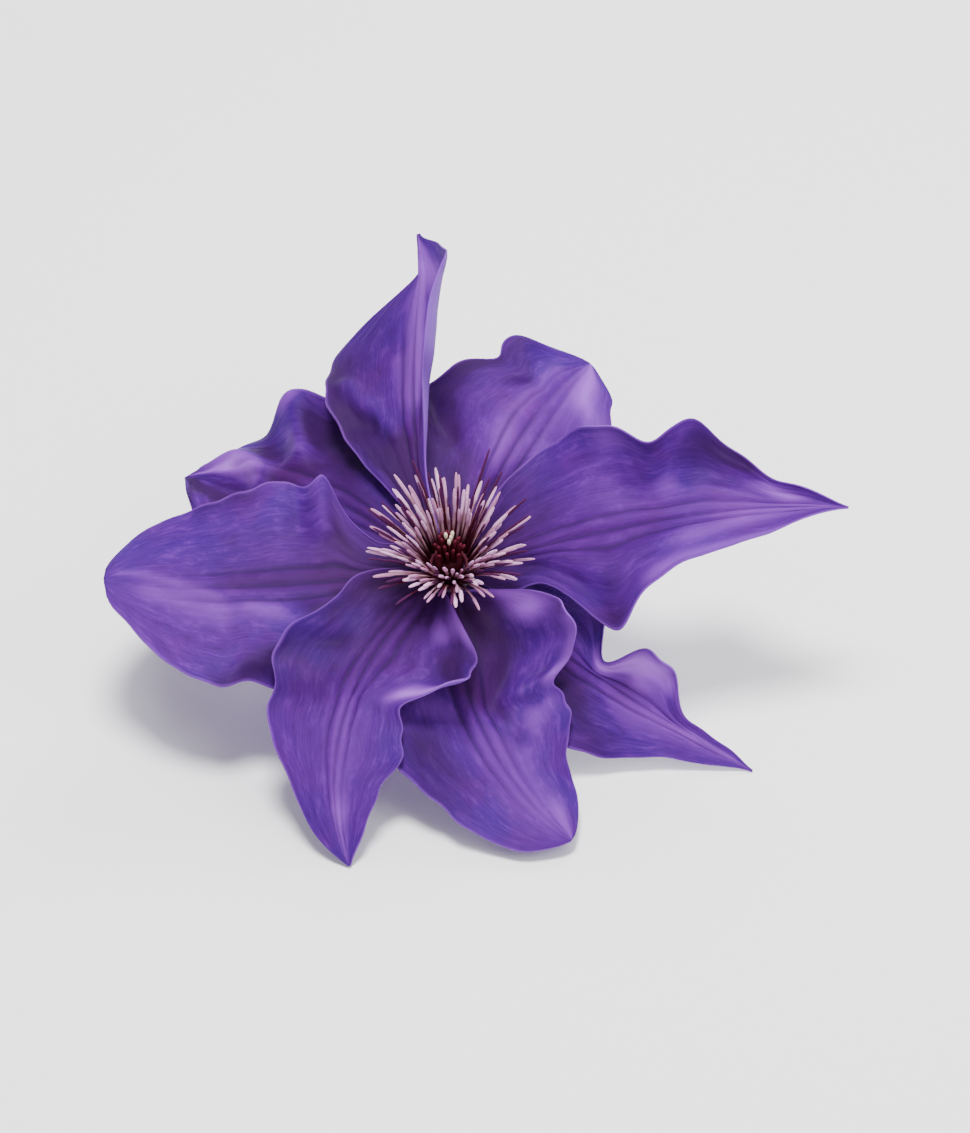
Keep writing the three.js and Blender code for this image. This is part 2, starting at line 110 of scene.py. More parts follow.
class Wire:
    def __init__(self, tree, socket):
        self.tree = tree
        self.socket = socket

    def math(self, operation, *others):
        return self.tree.node("ShaderNodeMath", {"operation": operation}, [self, *others])

    def __add__(self, other):
        return self.math("ADD", other)

    def __radd__(self, other):
        return self.math("ADD", other)

    def __sub__(self, other):
        return self.math("SUBTRACT", other)

    def __rsub__(self, other):
        return self.tree.node("ShaderNodeMath", {"operation": "SUBTRACT"}, [other, self])

    def __mul__(self, other):
        return self.math("MULTIPLY", other)

    def __rmul__(self, other):
        return self.math("MULTIPLY", other)

    def __truediv__(self, other):
        return self.math("DIVIDE", other)

    def size(self):
        return self.math("ABSOLUTE")

    def clamped(self):
        return self.tree.node("ShaderNodeMath", {"operation": "ADD", "use_clamp": True}, [self, 0.0])

    def smooth(self, low, high):
        # 0 below low, 1 above high and smooth between
        settings = {"interpolation_type": "SMOOTHSTEP"}
        return self.tree.node("ShaderNodeMapRange", settings, [self, low, high, 0.0, 1.0])

    def bell(self, middle, width):
        # 1 at middle, fading to both sides
        gap = (self - middle) / width
        return self.tree.node("ShaderNodeMath", {"operation": "EXPONENT"}, [gap * gap * -1.0])


class Finish:
    def __init__(self, name):
        self.material = bpy.data.materials.new(name)
        self.material.use_nodes = True
        self.tree = self.material.node_tree
        self.shader = self.tree.nodes["Principled BSDF"]

    def node(self, kind, settings=None, values=(), output=0):
        made = self.tree.nodes.new(kind)
        for key, value in (settings or {}).items():
            setattr(made, key, value)
        sockets = values.items() if isinstance(values, dict) else enumerate(values)
        for key, value in sockets:
            self.connect(made.inputs[key], value)
        return Wire(self, made.outputs[output])

    def connect(self, socket, value):
        if isinstance(value, Wire):
            self.tree.links.new(value.socket, socket)
        elif isinstance(value, tuple) and len(socket.default_value) == 4:
            socket.default_value = (*value, 1)
        else:
            socket.default_value = value

    def attribute(self, name):
        return self.node("ShaderNodeAttribute", {"attribute_name": name}, output="Fac")

    def place(self):
        return self.node("ShaderNodeTexCoord", output="Object")

    def vector(self, x, y, z):
        return self.node("ShaderNodeCombineXYZ", values=[x, y, z])

    def noise(self, vector, scale, detail, roughness=0.5):
        values = {"Vector": vector, "Scale": scale, "Detail": detail, "Roughness": roughness}
        return self.node("ShaderNodeTexNoise", values=values)

    def mix(self, share, first, second):
        settings = {"data_type": "RGBA", "clamp_factor": True}
        return self.node("ShaderNodeMix", settings, {0: share, 6: first, 7: second}, output=2)

    def layered(self, colour, colours, layers):
        # paints the colours over each other, each with a share of its own
        for share, name in layers:
            colour = self.mix(share, colour, colours[name])
        return colour

    def bump(self, height, distance, strength):
        values = {"Height": height, "Distance": distance, "Strength": strength}
        self.connect(self.shader.inputs["Normal"], self.node("ShaderNodeBump", values=values))

    def set(self, **values):
        for key, value in values.items():
            self.connect(self.shader.inputs[key.replace("_", " ")], value)


# Tepals: eight broad blades that overlap round the heart. Each is bent from a flat grid by
# its midrib's rise, sweep and twist and by the cup and waves of its two halves. Along it s runs
# from 0 at the base to 1 at the tip, and across it t runs from -1 to 1 at the margins.

tepalCommon = {
    "rows": 116,
    "columns": 76,
    "thickness": 0.42,
    "rimSoftness": 0.12,
    "rimAngle": 55,              # only sharper edges are softened
    "baseRadius": 4.5,
    "clawHalfWidth": 1.9,
    "tipHalfWidth": 0.25,
    "marginBias": 2.2,           # how far waves and lobes keep to the margin
    "grooveDepth": 0.5,
    "grooveSpacing": 0.15,
    "grooveWidth": 0.042,
    "narrowHalf": 3.0,           # grooves and puckers fade out where a half is about this narrow
    "pucker": 0.3,
    "slowPucker": (3.1, 2.3, 1.2),   # how close they are across and along, and their share
    "finePucker": (9.0, 4.2, 0.9),
    "ruffle": 0.9,
    "ruffles": 8.5,
    "jag": 0.012,                # a share of the width
    "jags": 61,
}

# The aim is each tepal's direction round the bloom, point says how sharp its tip is, and seat is
# its base's height above the heart. Three numbers run from base over middle to tip. Bulges widen
# the outline, lobes turn the margin and folds raise the blade, or the opposite below 0; folds also
# paint light on their crests and shade in their hollows. The bands of painted light and shade paint
# a highlight, or painted shade below 0.
tepals = {
    "lowerRight": {
        "node": "tepal_lower_right",
        "aim": -37, "length": 75, "halfWidth": 17.5, "widest": 0.42, "point": 1.5, "seat": 0,
        "rise": (0, -34, -7.7), "sweep": (0, 12, 10), "twist": (0, 10, 15),
        "clockwise": {
            "cup": (-5, -5, 15), "wave": (8, 2, 0.4),
            "bulges": [(0.74, 0.1, -2)],
        },
        "counter": {
            "cup": (-5, 5, 20), "wave": (8, 1.5, 0.2),
            "lobes": [(0.6, 0.1, 90)],
            "bulges": [(0.46, 0.07, -14), (0.58, 0.05, -2), (0.74, 0.08, -6.5), (0.85, 0.06, -2)],
        },
        "folds": [(0.5, -0.12, 0.8, -0.1, 2.5, 1)],
        "paintedLightAndShade": [
            (0.3, 0, 0.36, -0.4, 8, -0.8), (0.46, 0.55, 0.64, 0.8, 5, 1.8), (0.6, -0.1, 1, 0, 7, 0.4),
            (0.45, -0.4, 0.56, -0.8, 5, -0.7), (0.54, 0.5, 0.58, 0.3, 3, 0.6),
            (0.8, 0.2, 0.92, 0.2, 3, 0.5), (0.37, 0.9, 0.43, 0.4, 3, -0.8),
            (0.67, 0.9, 0.7, 0.6, 3, -0.7),
        ],
    },
    "upperRight": {
        "node": "tepal_upper_right",
        "aim": 68, "length": 70, "halfWidth": 22, "widest": 0.55, "point": 0.85, "seat": 0,
        "rise": (5, -15, -27), "sweep": (0, 3, -17), "twist": (0, 8, 11),
        "clockwise": {
            "cup": (-8, -9, -7), "wave": (20, 2, 0.15),
            "bulges": [(0.95, 0.05, 3)],
        },
        "counter": {
            "cup": (-8, 2, 2), "wave": (25, 2, 0.6),
            "bulges": [(0.58, 0.09, 3.5), (0.75, 0.04, -3.5), (0.86, 0.05, 2.2)],
        },
        "folds": [
            (0.6, 0.95, 0.44, 0.7, 4.5, -3.5), (0.33, 0.1, 0.86, 0.2, 2.5, 1.2),
            (0.88, 0.85, 0.73, 0.5, 3, 2), (0.85, -0.6, 0.6, -0.4, 4, -1.5),
        ],
        "paintedLightAndShade": [
            (0.2, 0.8, 0.58, 0.92, 7, -1), (0.5, -0.5, 0.8, -0.5, 9, 0.5),
            (0.85, 0.84, 0.73, 0.48, 3.5, -1.1), (0.98, -0.25, 0.85, -0.45, 5, 1),
            (0.4, 0, 0.5, 0.1, 4, 0.3), (0.75, 0.95, 0.7, 0.9, 3, -0.8),
            (0.18, 0.3, 0.32, -0.2, 6, -0.8), (0.28, 0.45, 0.36, 0.4, 3.5, -0.6),
            (0.32, -0.3, 0.44, -0.3, 3.5, -0.4),
        ],
    },
    "upperLeft": {
        "node": "tepal_upper_left",
        "aim": 139, "length": 72, "halfWidth": 24, "widest": 0.56, "point": 1.1, "seat": 0,
        "rise": (5, -21, -37), "sweep": (0, 1, 28), "twist": (0, -14, 17),
        "clockwise": {
            "cup": (-7, 15, -6), "wave": (35, 3, 0.15),
            "bulges": [(0.7, 0.08, 1), (0.79, 0.04, -2), (0.91, 0.05, -4.5)],
        },
        "counter": {
            "cup": (-8, 0, 17), "wave": (20, 2.5, 0.5),
        },
        "folds": [
            (0.92, -0.6, 0.7, -0.05, 3, 3), (0.85, 0.15, 0.76, 0.15, 4, -2.5),
            (0.93, 0.9, 0.84, 0.65, 3, 1.5), (0.74, -1, 0.6, -0.35, 2.6, 2.6),
            (0.82, -1, 0.69, -0.25, 3, -2.5), (0.6, -0.75, 0.48, -0.55, 6, -4),
        ],
        "paintedLightAndShade": [
            (0.15, 0, 0.4, -0.2, 7, -0.8), (0.6, 0.15, 0.66, 0.5, 5, -1),
            (0.95, -0.35, 0.86, -0.2, 3, 1.3), (0.82, -0.15, 0.7, 0.05, 3, 1.1),
            (0.78, -0.45, 0.74, -0.3, 2.2, -1.2), (0.93, 0.5, 0.76, 0.45, 4, -1.3),
            (0.66, 0, 0.55, -0.2, 4, -0.9), (0.75, -0.7, 0.69, -0.5, 1.6, 0.5),
            (0.68, -0.85, 0.6, -0.5, 2.4, -1), (0.97, 0.2, 0.9, 1, 3, -1.1),
            (0.7, -0.9, 0.64, -0.85, 2.5, 0.4), (0.56, -0.8, 0.4, -0.6, 7, -0.3),
        ],
    },
    "bottom": {
        "node": "tepal_bottom",
        "aim": -89, "length": 66, "halfWidth": 22, "widest": 0.42, "point": 0.75, "seat": 1.1,
        "rise": (7, -35, 10), "sweep": (0, 24, 47), "twist": (0, 0, -5),
        "clockwise": {
            "cup": (-2, 25, 0), "wave": (8, 1.5, 0.4),
            "bulges": [(0.66, 0.07, -1.3), (0.92, 0.06, 1.5)],
        },
        "counter": {
            "cup": (12, -5, -24), "wave": (8, 2, 0.1),
            "lobes": [(0.23, 0.14, 78), (0.05, 0.06, 20)],
            "bulges": [
                (0.11, 0.1, 7), (0.2, 0.06, 4), (0.28, 0.07, 6), (0.44, 0.05, -4), (0.53, 0.05, -1.5),
                (0.72, 0.12, -3),
            ],
        },
        "folds": [
            (0.22, 0.5, 0.43, 0.25, 4, -3), (0.43, 0.6, 0.41, 0.9, 2, 1.5),
            (0.08, 0.9, 0.18, 1, 4, 1.2),
        ],
        "paintedLightAndShade": [
            (0.1, 0.05, 0.35, 0, 5, -1.2), (0.45, -0.7, 0.65, -0.9, 6, -0.6),
            (0.6, 0.1, 0.85, 0.1, 8, 0.4), (0.02, 0.9, 0.1, 0.75, 4, 0.85),
            (0.12, 0.28, 0.3, 0.26, 3, -1), (0.24, 0.98, 0.4, 0.98, 2, 0.8),
            (0.15, 0.6, 0.3, 0.5, 4, 0.45), (0.9, 0.4, 1, 0.3, 4, 0.5),
            (0.4, 0.75, 0.46, 0.7, 2.5, -0.5), (0.5, 0.8, 0.56, 0.5, 3, 0.4),
            (0.38, -0.5, 0.4, -0.2, 4, 0.5), (0.5, -0.55, 0.62, -0.5, 4, -0.5),
            (0.5, 0.3, 0.57, 0.35, 3, -0.5),
        ],
    },
    "bottomLeft": {
        "node": "tepal_bottom_left",
        "aim": -130, "length": 72.5, "halfWidth": 19.5, "widest": 0.41, "point": 1.1, "seat": 3,
        "rise": (12, -11.5, -25.4), "sweep": (0, 9, 65), "twist": (0, -12, 15),
        "clockwise": {
            "cup": (16, 28, 10), "wave": (8, 1.5, 0.4),
            "bulges": [(0.26, 0.09, -4), (0.52, 0.05, -2), (0.74, 0.13, -3)],
        },
        "counter": {
            "cup": (-4, -18, 30), "wave": (8, 2, 0.1),
            "lobes": [(0.33, 0.13, 95)],
            "bulges": [
                (0.14, 0.08, 5), (0.29, 0.07, 6), (0.46, 0.07, -8), (0.57, 0.07, -3.8),
                (0.74, 0.06, -1.6), (0.93, 0.05, 1),
            ],
        },
        "folds": [
            (0.4, -0.9, 0.34, -0.5, 3.5, -2), (0.49, -0.9, 0.46, -0.4, 3, 1.6),
            (0.12, 0.45, 0.36, 0.38, 2.2, 0.9), (0.5, -0.05, 0.85, 0.1, 3, 0.8),
        ],
        "paintedLightAndShade": [
            (0.1, -0.3, 0.3, -0.2, 8, -0.7), (0.15, 0.7, 0.27, 0.75, 4, -1.2),
            (0.2, 0.3, 0.3, 0.35, 3, -0.4), (0.4, 0.68, 0.36, 0.95, 3, 1.5),
            (0.48, -0.9, 0.46, -0.4, 4.5, -0.9), (0.1, -0.7, 0.27, -0.9, 4, -0.7),
            (0.06, 0.9, 0.14, 0.6, 4, 1.2), (0.55, 0.1, 0.8, 0.1, 6, 0.2), (0.85, 0.1, 1, 0.1, 4, 0.5),
        ],
    },
    "right": {
        "node": "tepal_right",
        "aim": 13, "length": 85, "halfWidth": 23.5, "widest": 0.4, "point": 1.35, "seat": 2,
        "rise": (14, 14, 6), "sweep": (0, -7, -20), "twist": (0, 12, -2),
        "clockwise": {
            "cup": (0, 27, 70), "wave": (12, 1.6, 0.5),
            "bulges": [(0.19, 0.1, -9.5), (0.37, 0.05, 5), (0.57, 0.15, -6.5), (0.72, 0.06, -1.2)],
        },
        "counter": {
            "cup": (12, 50, 65), "wave": (35, 2.2, 0.2),
            "bulges": [(0.52, 0.05, -3), (0.63, 0.04, 2.5), (0.8, 0.07, -3)],
        },
        "folds": [
            (0.52, 0.95, 0.46, 0.4, 4.5, -1.6), (0.6, 0.95, 0.54, 0.4, 3.5, 1),
            (0.7, 0.95, 0.64, 0.55, 4.5, -1.4), (0.17, -0.45, 0.31, -0.7, 5, -2.5),
        ],
        "paintedLightAndShade": [
            (0.15, 0.3, 0.22, 0.4, 5, -0.4), (0.45, 0.4, 0.7, 0.3, 9, 0.3),
            (0.6, -0.3, 0.95, 0.05, 6, 0.6), (0.42, 0.9, 0.54, 0.8, 3, 0.5),
            (0.57, 0.7, 0.75, 0.9, 5, -0.8), (0.79, 0.65, 0.85, 0.4, 3.5, 1.1),
            (0.36, -0.9, 0.32, -1, 3, -0.5), (0.45, -0.2, 0.65, -0.15, 4, -0.3),
            (0.22, -0.5, 0.3, -0.6, 4, 0.5), (0.7, 0.45, 0.6, 0.4, 3, -0.4),
            (0.36, -0.3, 0.38, -0.9, 4, -0.4), (0.5, -0.8, 0.8, -0.95, 4, 0.6),
            (0.72, 0.8, 0.76, 0.7, 2.5, -0.6),
        ],
    },
    "top": {
        "node": "tepal_top",
        "aim": 112, "length": 82, "halfWidth": 21.5, "widest": 0.57, "point": 1.7, "seat": 2,
        "rise": (15, -4, 0), "sweep": (0, -36, -18), "twist": (0, -47, -25),
        "clockwise": {
            "cup": (37, 179, 19), "wave": (8, 1.5, 0.1),
            "bulges": [
                (0.3, 0.15, -7), (0.49, 0.12, -8.5), (0.66, 0.1, -4.5), (0.86, 0.06, 4.5),
                (0.94, 0.04, 2.5),
            ],
        },
        "counter": {
            "cup": (14, 45, -44), "wave": (18, 2, 0.3),
            "bulges": [(0.7, 0.09, 4.2), (0.88, 0.07, -7.5)],
        },
        "folds": [
            (0.88, -0.1, 0.39, 0.05, 2, 1), (0.42, 0.95, 0.42, 0.6, 4, -2),
            (0.55, 0.75, 0.38, 0.3, 2.5, 1.5),
        ],
        "paintedLightAndShade": [
            (0.1, 0.1, 0.32, 0.2, 8, -1.3), (0.62, 0.95, 0.33, 0.8, 6, -0.8),
            (0.55, 0.6, 0.75, 0.6, 8, -0.4), (0.6, 0.2, 0.38, 0.1, 2.5, 0.4),
            (0.46, -0.45, 0.5, -1, 4, -0.9), (0.27, 0.6, 0.14, 0.7, 4, -0.8),
            (0.48, -0.1, 0.9, 0.05, 3.5, 0.7), (0.85, -0.3, 1, -0.1, 4, 0.8),
        ],
    },
    "left": {
        "node": "tepal_left",
        "aim": 190, "length": 71.5, "halfWidth": 26, "widest": 0.47, "point": 0.5, "seat": 2.1,
        "rise": (14, -13, 14), "sweep": (0, -6, -12), "twist": (0, -2, 16),
        "clockwise": {
            "cup": (14, -5, -26), "wave": (8, 1.6, 0.2),
            "bulges": [
                (0.15, 0.13, -12), (0.285, 0.04, 5), (0.43, 0.08, 2), (0.76, 0.06, 1.2),
                (0.87, 0.08, 3),
            ],
        },
        "counter": {
            "cup": (-6, -13, -3), "wave": (8, 1.5, 0.55),
            "lobes": [(0.42, 0.14, -30)],
            "bulges": [
                (0.14, 0.14, -9), (0.55, 0.06, -2.8), (0.65, 0.06, 0.5), (0.85, 0.04, -1),
                (0.93, 0.05, -2.5),
            ],
        },
        "folds": [
            (0.31, -1, 0.31, -0.5, 2.5, 1.8), (0.38, -0.95, 0.39, -0.5, 3, -1.8),
            (0.33, 0.25, 0.62, 0.95, 3, 1.1),
        ],
        "paintedLightAndShade": [
            (0.1, -0.4, 0.28, -0.3, 8, -0.7), (0.28, -0.9, 0.27, -0.5, 3, -0.6),
            (0.37, -1, 0.38, -0.5, 1.8, 0.4), (0.36, 0.3, 0.15, 0.15, 5, -1.2),
            (0.69, -0.95, 0.54, -0.95, 3, -0.6), (0.95, -0.25, 0.65, 0.1, 1.5, 0.3),
            (0.85, 0.1, 0.65, 0.25, 4, 0.4), (0.62, 1, 0.48, 0.7, 4, -1.2),
            (0.6, -0.3, 0.5, -0.3, 6, -0.3), (0.6, -0.05, 0.2, -0.05, 3.5, -0.7),
            (0.55, 0.22, 0.42, 0.32, 2.5, 0.5),
        ],
    },
}


def bells(s, hills):
    # a sum of smooth hills, each a place, a breadth and a height
    each = (height * np.exp(-(((s - place) / breadth) ** 2)) for place, breadth, height in hills)
    return sum(each, 0 * s)


def halfWidthAt(shape, half, s):
    # the two powers shape the outline's rise from the base and its fall to the tip
    tipPower, widest = shape["point"], shape["widest"]
    basePower = tipPower * widest / (1 - widest)
    peak = widest ** basePower * (1 - widest) ** tipPower
    blade = shape["halfWidth"] * s ** basePower * (1 - s) ** tipPower / peak
    outline = np.maximum(blade + bells(s, half.get("bulges", ())), 0)
    return outline + tepalCommon["clawHalfWidth"] * (1 - s) ** 3 + tepalCommon["tipHalfWidth"] * s


def marginTurn(half, s):
    size, count, start = half["wave"]
    turn = size * np.sin(np.pi * s) ** 0.7 * np.sin(2 * np.pi * (count * s + start))
    return np.radians(turn + bells(s, half.get("lobes", ())))


def softBands(shape, bands, s, t):
    # a sum of soft bands: each runs from one (s, t) to another, with a width and a strength
    shortest = 0.01
    total = 0 * s
    flat = np.stack([s * shape["length"], t * shape["halfWidth"]], -1)
    for fromS, fromT, toS, toT, width, strength in bands:
        start = np.array([fromS * shape["length"], fromT * shape["halfWidth"]])
        run = np.array([toS * shape["length"], toT * shape["halfWidth"]]) - start
        share = np.clip((flat - start) @ run / max(run @ run, shortest), 0, 1)
        gap = np.linalg.norm(flat - start - share[..., None] * run, axis=-1)
        total = total + strength * np.exp(-((gap / width) ** 2))
    return total


def midrib(shape, s):
    aim = math.radians(shape["aim"])
    out = np.array([math.cos(aim), math.sin(aim), 0.0])
    across = np.array([-math.sin(aim), math.cos(aim), 0.0])
    up = np.array([0.0, 0.0, 1.0])

    def directions(place):
        rise = np.radians(along(shape["rise"], place))[:, None]
        sweep = np.radians(along(shape["sweep"], place))[:, None]
        level = np.cos(sweep) * out + np.sin(sweep) * across
        tangent = np.cos(rise) * level + np.sin(rise) * up
        side = -np.sin(sweep) * out + np.cos(sweep) * across
        return tangent, side

    count = 800
    fine = np.linspace(0, 1, count + 1)
    middles = (fine[1:] + fine[:-1]) / 2
    steps = directions(middles)[0] * shape["length"] / count
    line = np.vstack([np.zeros(3), np.cumsum(steps, axis=0)])
    line += out * tepalCommon["baseRadius"] + up * shape["seat"]
    points = np.stack([np.interp(s, fine, line[:, axis]) for axis in range(3)], -1)
    tangent, side = directions(s)
    normal = np.cross(tangent, side)
    twist = np.radians(along(shape["twist"], s))[:, None]
    twistedSide = np.cos(twist) * side + np.sin(twist) * normal
    twistedNormal = np.cos(twist) * normal - np.sin(twist) * side
    return points, twistedSide, twistedNormal


def puckerAt(seed, s, t):
    # slow unevenness of the blade, longer than wide, and short ruffles towards the margin
    slowAcross, slowAlong, slowShare = tepalCommon["slowPucker"]
    fineAcross, fineAlong, fineShare = tepalCommon["finePucker"]
    values = np.empty(s.shape)
    for index in np.ndindex(s.shape):
        here = s[index]
        there = t[index]
        slow = noise.noise(Vector((there * slowAcross, here * slowAlong, seed)))
        fine = noise.noise(Vector((there * fineAcross, here * fineAlong, seed + 9)))
        edge = noise.noise(Vector((1.2 * (there > 0), here * tepalCommon["ruffles"], seed + 21)))
        reach = abs(there) ** 5 * min(1, here * 5) * min(1, (1 - here) * 8)
        puckers = tepalCommon["pucker"] * (slowShare * slow + fineShare * fine)
        values[index] = puckers + tepalCommon["ruffle"] * edge * reach
    return values


def bladePoints(shape, s, t, seed):
    points, side, normal = midrib(shape, s[:, 0])
    clockwise, counter = shape["clockwise"], shape["counter"]
    width = np.where(t < 0, halfWidthAt(shape, clockwise, s), halfWidthAt(shape, counter, s))
    jags = np.sin(tepalCommon["jags"] * s + 5 * np.sign(t) + seed)
    width = width * (1 + tepalCommon["jag"] * jags * np.sin(np.pi * s))
    size = np.abs(t)
    cup = np.radians(np.where(t < 0, along(clockwise["cup"], s), along(counter["cup"], s)))
    turn = np.where(t < 0, marginTurn(clockwise, s), marginTurn(counter, s))
    steps = 24
    x = np.zeros(s.shape)
    z = np.zeros(s.shape)
    for step in range(steps):
        u = size * (step + 0.5) / steps
        slope = cup * u + turn * u ** tepalCommon["marginBias"]
        x += np.cos(slope) * size / steps
        z += np.sin(slope) * size / steps
    fade = np.sin(np.pi * s) ** 0.5
    spacing = tepalCommon["grooveSpacing"]
    groove = bells(t, [(place, tepalCommon["grooveWidth"], 1) for place in (-spacing, 0, spacing)])
    broad = 1 - np.exp(-((width / tepalCommon["narrowHalf"]) ** 2))
    lift = z * width - tepalCommon["grooveDepth"] * fade * groove * broad
    lift += (puckerAt(seed, s, t) * broad + softBands(shape, shape["folds"], s, t)) * fade
    sideways = x * np.sign(t) * width
    return points[:, None] + side[:, None] * sideways[..., None] + normal[:, None] * lift[..., None]


def tepalBlade(name, shape, seed):
    deselectAll()
    columns = tepalCommon["columns"]
    rows = tepalCommon["rows"]
    bpy.ops.mesh.primitive_grid_add(x_subdivisions=columns, y_subdivisions=rows, size=2, calc_uvs=True)
    blade = bpy.context.object
    blade.name = name
    flat = readPoints(blade)
    grid = flat.reshape(rows + 1, columns + 1, 3)
    s = (grid[..., 1] + 1) / 2
    t = grid[..., 0]
    writePoints(blade, fromBloom(bladePoints(shape, s, t, seed)).reshape(-1, 3))
    addNumbers(blade, "acrossBlade", t)
    addNumbers(blade, "alongBlade", s)
    # painted light and shade: a painted highlight on the folds' crests, painted shade in their
    # hollows, and the listed bands of painted light and shade
    tone = softBands(shape, shape["folds"], s, t) / 4 + softBands(shape, shape["paintedLightAndShade"], s, t)
    addNumbers(blade, "lightAndShadeOfBlade", tone)
    # the shell's group marks the back
    shell = blade.vertex_groups.new(name="back")
    solidify = blade.modifiers.new("thickness", "SOLIDIFY")
    solidify.thickness = tepalCommon["thickness"] * mm
    solidify.offset = 0
    solidify.use_quality_normals = True
    solidify.shell_vertex_group = shell.name
    applyModifiers(blade)
    bevel = blade.modifiers.new("softRim", "BEVEL")
    bevel.width = tepalCommon["rimSoftness"] * mm
    bevel.segments = 2
    bevel.limit_method = "ANGLE"
    bevel.angle_limit = math.radians(tepalCommon["rimAngle"])
    applyModifiers(blade)
    back = np.ones(len(blade.data.vertices))
    for vertex in blade.data.vertices:
        for group in vertex.groups:
            back[vertex.index] = min(back[vertex.index], 1 - group.weight)
    addNumbers(blade, "backOfBlade", back)
    bpy.ops.object.shade_smooth()
    return blade


# Colours of the tepals: their own violet, blue, lilac and rose, the colours of the back, and painted
# light and shade
tepalColours = {
    "violet": (0.050, 0.004, 0.140),
    "blue": (0.034, 0.003, 0.140),
    "lilac": (0.150, 0.028, 0.330),
    "rose": (0.080, 0.005, 0.130),
    # the next five: painted shade in the grooves, painted shade near the heart, a painted highlight, a
    # brighter painted highlight, and the dark of the mottling that also serves as painted shade
    "groove": (0.009, 0.001, 0.030),
    "paintedShadeNearHeart": (0.018, 0.001, 0.026),
    "paintedLight": (0.240, 0.060, 0.460),
    "light": (0.420, 0.150, 0.700),
    "mottleAndPaintedShade": (0.018, 0.002, 0.034),
    "rim": (0.180, 0.045, 0.380),
    "back": (0.150, 0.050, 0.340),
    "backBar": (0.250, 0.240, 0.170),
}


def tepalFinish(name, seed):
    finish = Finish(name)
    t = finish.attribute("acrossBlade")
    s = finish.attribute("alongBlade")
    back = finish.attribute("backOfBlade").smooth(0.4, 0.6)
    # the blade's painted light and shade
    tone = finish.attribute("lightAndShadeOfBlade")
    place = finish.place()
    colours = tepalColours

    # slow clouds and patches, streaks and hairs along the blade, mottling and a net of veins
    clouds = finish.noise(place, 38.0, 2.0).smooth(0.35, 0.68)
    patches = finish.noise(place, 90.0, 2.0).smooth(0.48, 0.75)
    streaks = finish.noise(finish.vector(t * 30.0, s * 7.0, seed * 1.7), 1.0, 4.0, 0.62)
    hairs = finish.noise(finish.vector(t * 90.0, s * 14.0, seed * 2.3), 1.0, 3.0, 0.6)
    mottle = finish.noise(finish.vector(t * 9.0, s * 16.0, seed * 4.3), 1.0, 3.0, 0.65)
    cells = {"Vector": finish.vector(t * 9.0, s * 6.5, seed * 3.1), "Scale": 1.0, "Randomness": 0.9}
    net = finish.node("ShaderNodeTexVoronoi", {"feature": "DISTANCE_TO_EDGE"}, cells)
    veins = 1.0 - net.smooth(0.0, 0.09)

    spacing = tepalCommon["grooveSpacing"]
    grooveShade = t.bell(0.0, 0.03) + t.bell(spacing, 0.028) + t.bell(-spacing, 0.028)
    bar = t.bell(0.0, 0.26) * (1.0 - s.smooth(0.55, 1.0))
    # painted shade near the heart, under the stamens, taken away where painted light lies
    lowShade = (1.0 - s.smooth(0.05, 0.32)) * (1.0 - tone.clamped())
    edge = t.size().smooth(0.965, 1.0)
    face = finish.layered(finish.mix(clouds, colours["violet"], colours["blue"]), colours, [
        (patches * 0.35, "rose"),
        (mottle.smooth(0.5, 0.75) * 0.35, "lilac"),
        ((1.0 - mottle.smooth(0.25, 0.5)) * 0.4, "mottleAndPaintedShade"),
        (streaks.smooth(0.45, 0.8) * 0.3, "lilac"),
        (hairs.smooth(0.5, 0.8) * 0.18, "lilac"),
        (veins * 0.05, "lilac"),
        # painted light and shade: a painted highlight above 0, a brighter painted highlight above 1,
        # and painted shade below 0
        (tone.clamped() * 0.8, "paintedLight"),
        ((tone - 1.0).clamped() * 0.8, "light"),
        ((tone * -1.0).clamped() * 0.85, "mottleAndPaintedShade"),
        (bar * 0.25, "rose"),
        # painted shade in the grooves
        (grooveShade * (1.0 - s.smooth(0.45, 0.95)) * 0.6, "groove"),
        # painted shade near the heart
        (lowShade * 0.72, "paintedShadeNearHeart"),
        (edge * 0.45, "rim"),
    ])

    underBar = t.bell(0.0, 0.17) * (1.0 - s.smooth(0.5, 1.0))
    under = finish.layered(colours["back"], colours, [
        (streaks.smooth(0.4, 0.8) * 0.4, "lilac"),
        (underBar * (0.55 + 0.35 * hairs), "backBar"),
        # painted shade on the back where the painted light and shade is below 0
        ((tone * -1.0).clamped() * 0.6, "violet"),
        (edge * 0.5, "rim"),
    ])
    colour = finish.mix(back, face, under)

    roughness = 0.52 + 0.14 * streaks
    finish.set(Base_Color=colour, Roughness=roughness, Subsurface_Weight=0.12, Subsurface_Scale=0.002,
               Subsurface_Radius=(0.8, 0.4, 1.0), Sheen_Weight=0.05, Sheen_Roughness=0.45,
               Sheen_Tint=(0.6, 0.35, 1.0), Specular_IOR_Level=0.08)
    relief = streaks * 0.5 + hairs * 0.25 + mottle * 1.2 + veins * 0.12
    finish.bump(relief, 0.00016, 0.8)
    return finish.material


# Stamens: a ring that carries a spiral of flat filaments, each with a broader anther

